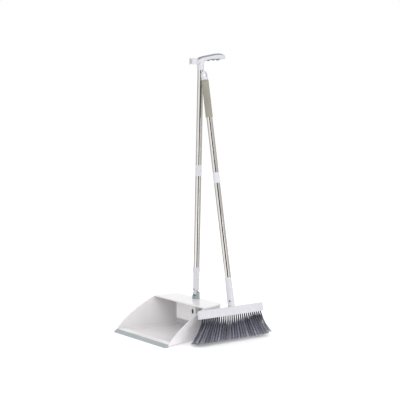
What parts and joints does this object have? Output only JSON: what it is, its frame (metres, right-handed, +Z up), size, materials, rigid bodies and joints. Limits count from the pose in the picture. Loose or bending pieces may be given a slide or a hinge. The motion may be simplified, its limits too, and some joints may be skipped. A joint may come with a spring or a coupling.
{
  "type": "dust pan and broom set",
  "caption": "Upright hooded dust pan with a hinged steel handle and T-grip, and a long-handled broom with fanned bristle rows leaning against it.",
  "frame": {"origin": "on the flat underside of the pan's floor, on the pan's centre line, midway between the lip and the rear wall", "axes": "+Z up along the standing handles, -Y out of the pan's mouth, +X across the pan towards the side where the broom leans"},
  "size_m": [0.3696, 0.3704, 0.9054],
  "materials": {
    "white_plastic": "glossy moulded",
    "grey_rubber": "matte",
    "grey_plastic": "satin moulded",
    "soft_grey": "soft touch",
    "olive_grip": "matte, fine grain",
    "steel_tube": "polished stainless",
    "steel_screws": "zinc plated",
    "dark_screws": "black oxide",
    "nylon": "natural nylon",
    "bristle": "dark blue-grey filament"
  },
  "bodies": {
    "pan": {"pan_shell": "white_plastic", "lip_strip": "grey_rubber", "hinge_housing": "white_plastic", "housing_screws": "steel_screws", "hinge_bracket": "grey_plastic", "bracket_screws": "steel_screws", "hinge_pin": "steel_screws", "hinge_washers": "nylon"},
    "handle": {"handle_socket": "white_plastic", "handle_socket_screw": "dark_screws", "handle_lower_tube": "steel_tube", "handle_lower_connector": "white_plastic", "handle_upper_connector": "white_plastic", "handle_upper_tube": "steel_tube", "t_handle": "white_plastic", "t_handle_inset": "soft_grey", "finger_rest": "soft_grey"},
    "broom": {"broom_head_cover": "white_plastic", "bristle_block": "white_plastic", "block_screws": "steel_screws", "bristle_row_1": "bristle", "bristle_row_2": "bristle", "bristle_row_3": "bristle", "bristle_row_4": "bristle", "broom_socket": "white_plastic", "broom_socket_screw": "dark_screws", "broom_lower_tube": "steel_tube", "broom_lower_connector": "white_plastic", "broom_upper_connector": "white_plastic", "broom_upper_tube": "steel_tube", "grip_sleeve": "olive_grip", "hanging_cap": "white_plastic"}
  },
  "joints": [
    {"name": "handle_hinge", "type": "hinge", "parent": "pan", "child": "handle", "pos_m": [0, 0.1095, 0.119], "axis": [1, 0, 0], "range_deg": [-90, 0]},
    {"name": "broom_lift", "type": "slide", "parent": "pan", "child": "broom", "axis": [0.8, 0, 0.6], "range_m": [0, 0.3]}
  ]
}
